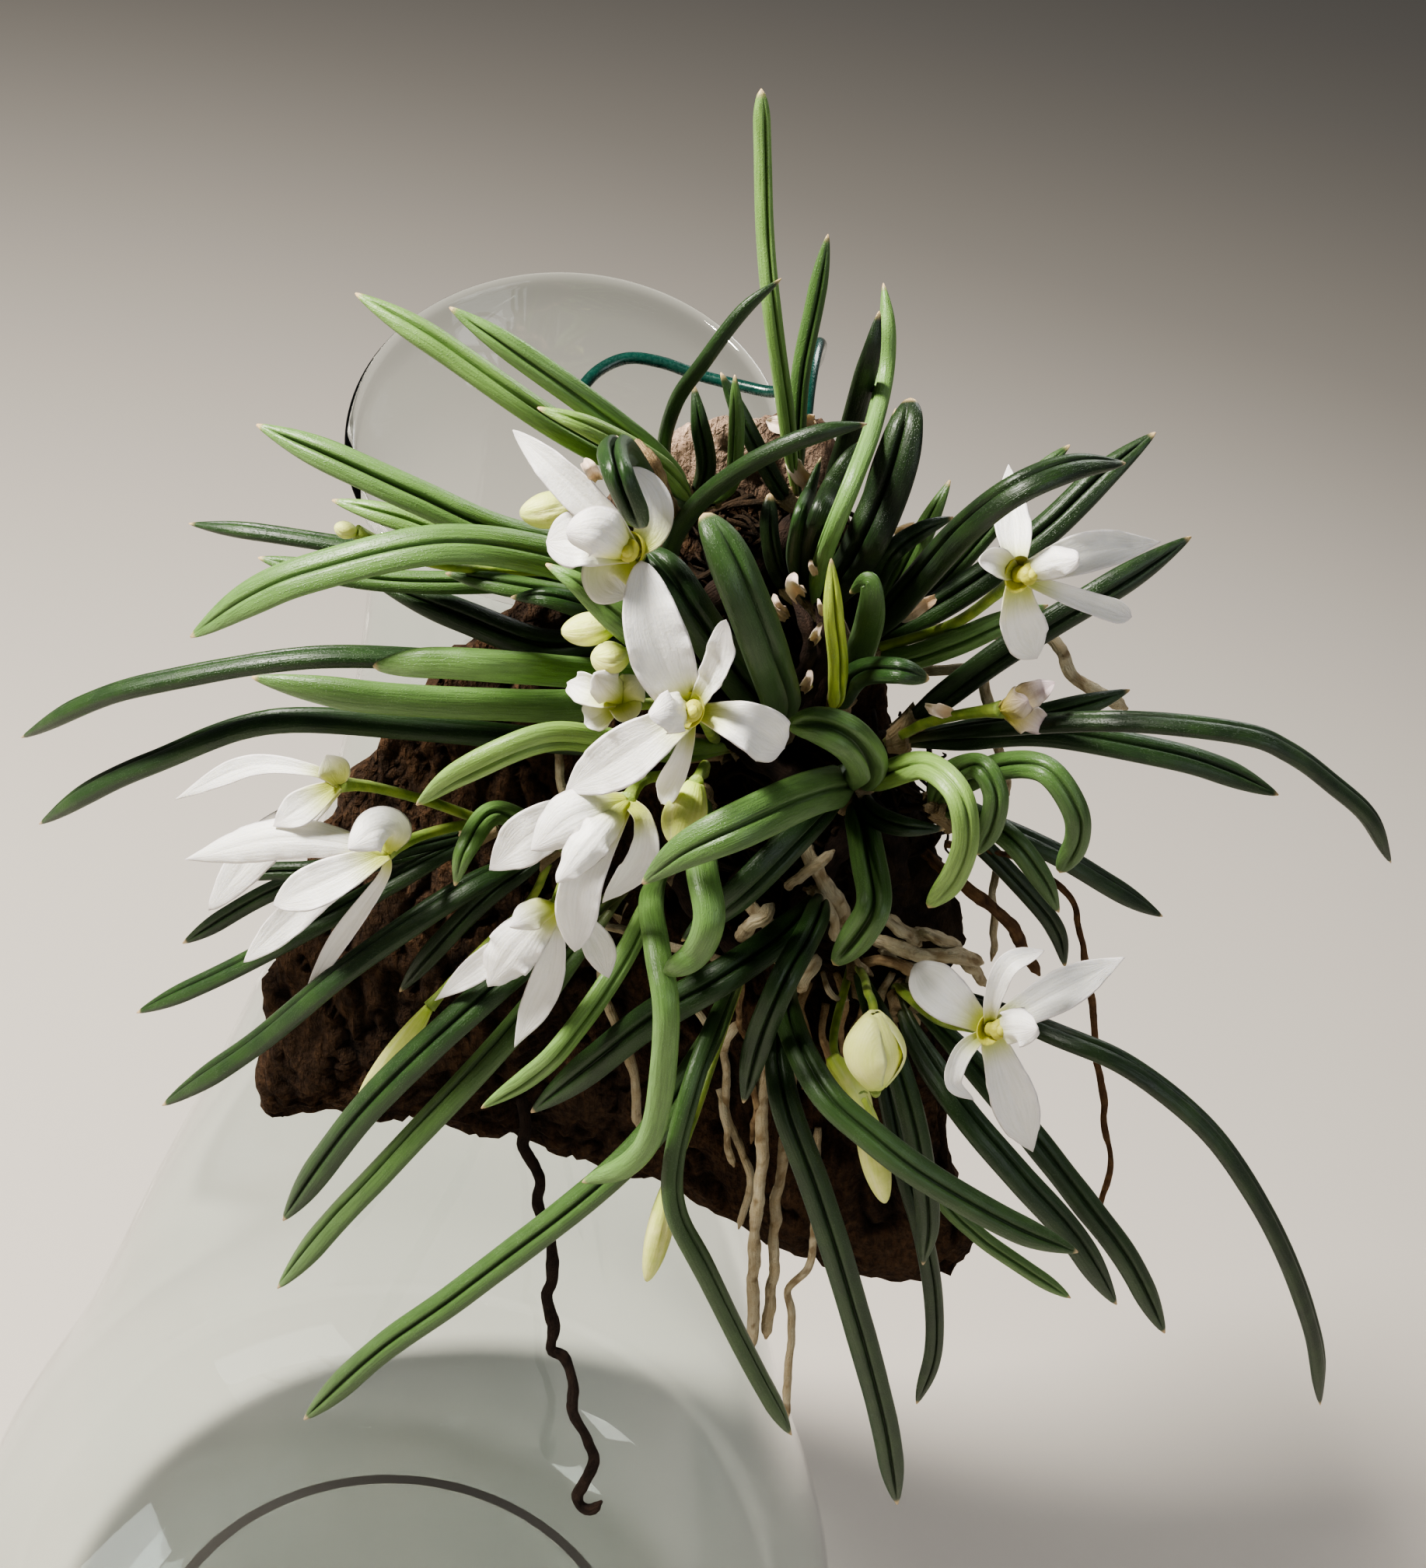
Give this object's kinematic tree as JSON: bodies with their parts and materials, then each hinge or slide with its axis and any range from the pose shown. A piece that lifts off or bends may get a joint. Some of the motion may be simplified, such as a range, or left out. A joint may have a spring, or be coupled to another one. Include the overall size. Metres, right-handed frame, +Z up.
{
  "type": "leptotes orchid on cork bark hung on a glass vase",
  "caption": "Miniature orchid with fleshy grooved leaves, white flowers and hanging roots on a cork bark slab, hung by a coated wire hook from the mouth of a clear glass vase.",
  "frame": {"origin": "centre of the vase's flat foot, on its underside", "axes": "+Z up, along the vase's axis; -Y towards the plant, which hangs on the front of the vase"},
  "size_m": [0.3145, 0.2486, 0.4776],
  "materials": {
    "glass": "clear blown glass, glossy",
    "bark": "rough dark cork bark",
    "wire": "dark green plastic coated wire, glossy",
    "moss": "dark moss and old roots, matt",
    "dark_root": "dry brown root, matt",
    "pale_root": "pale velamen root, matt",
    "leaf": "fleshy green leaf, waxy with a fine silver speckle",
    "petal": "white translucent tepal, satin",
    "bud": "yellow green bud, satin"
  },
  "bodies": {
    "root": {"vase_glass": "glass", "bark_slab": "bark", "wire_hanger": "wire", "root_mat": "moss", "root_long_dark": "dark_root", "root_pale_left": "pale_root", "root_pale_mid": "pale_root", "root_pale_right": "pale_root", "root_brown": "dark_root", "root_thin": "dark_root", "root_upper_far": "pale_root", "root_upper_near": "pale_root", "flower_front": "petal", "flower_upper_left": "petal", "flower_right": "petal", "flower_low_right": "petal", "flower_nodding_high": "petal", "flower_nodding_low": "petal", "flower_far_left_low": "petal", "flower_far_left_high": "petal", "flower_opening": "petal", "flower_withered": "petal", "bud_left": "bud", "bud_mid": "bud", "bud_round": "bud", "bud_hanging": "bud", "bud_cream": "bud", "bud_low": "bud", "bud_yellow": "bud", "bud_behind": "bud", "bud_tiny": "bud", "shoot_top": "leaf", "shoot_top_left": "leaf", "shoot_left_high": "leaf", "shoot_left_mid": "leaf", "shoot_left_low": "leaf", "shoot_left_bottom": "leaf", "shoot_far_left": "leaf", "shoot_low_left": "leaf", "shoot_low_mid": "leaf", "shoot_mid": "leaf", "shoot_centre_low": "leaf", "shoot_centre": "leaf", "shoot_heart": "leaf", "shoot_low_centre": "leaf", "shoot_bottom_left": "leaf", "shoot_bottom": "leaf", "shoot_bottom_mid": "leaf", "shoot_bottom_right": "leaf", "shoot_right": "leaf", "shoot_right_high": "leaf", "shoot_upper": "leaf", "shoot_crown": "leaf", "shoot_right_low": "leaf"}
  },
  "joints": []
}
